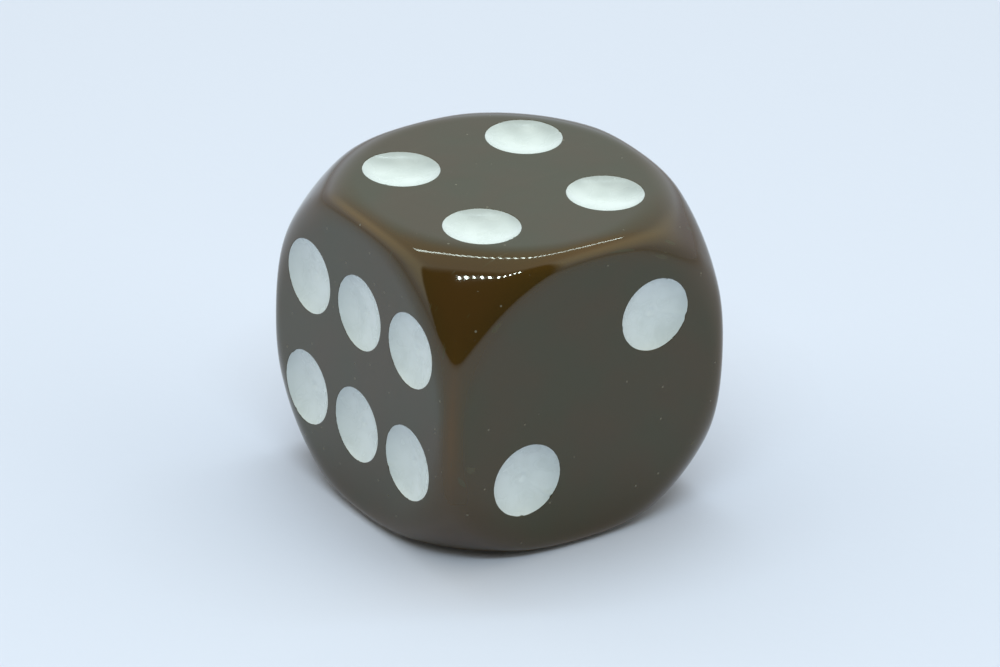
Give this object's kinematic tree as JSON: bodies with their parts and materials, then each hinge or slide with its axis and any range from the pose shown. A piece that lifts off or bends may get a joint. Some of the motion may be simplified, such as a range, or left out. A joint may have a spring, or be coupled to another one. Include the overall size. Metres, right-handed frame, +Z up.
{
  "type": "gaming die",
  "caption": "Cube-shaped gaming die with round edges, ball-turned corners and round recessed pips filled with white paint.",
  "frame": {"origin": "middle of the three-pip side, which the die stands on, so the lowest point is at z = 0", "axes": "+Z up through the four-pip side, -Y out of the two-pip side, -X out of the six-pip side, +X out of the one-pip side, +Y out of the five-pip side"},
  "size_m": [0.016, 0.016, 0.016],
  "materials": {
    "body_plastic": "polished opaque dark brown plastic",
    "pip_paint": "satin off-white paint with a faint pearl"
  },
  "bodies": {
    "root": {"body": "body_plastic", "pip_four_1": "pip_paint", "pip_four_2": "pip_paint", "pip_four_3": "pip_paint", "pip_four_4": "pip_paint", "pip_three_1": "pip_paint", "pip_three_2": "pip_paint", "pip_three_3": "pip_paint", "pip_two_1": "pip_paint", "pip_two_2": "pip_paint", "pip_five_1": "pip_paint", "pip_five_2": "pip_paint", "pip_five_3": "pip_paint", "pip_five_4": "pip_paint", "pip_five_5": "pip_paint", "pip_six_1": "pip_paint", "pip_six_2": "pip_paint", "pip_six_3": "pip_paint", "pip_six_4": "pip_paint", "pip_six_5": "pip_paint", "pip_six_6": "pip_paint", "pip_one_1": "pip_paint"}
  },
  "joints": []
}
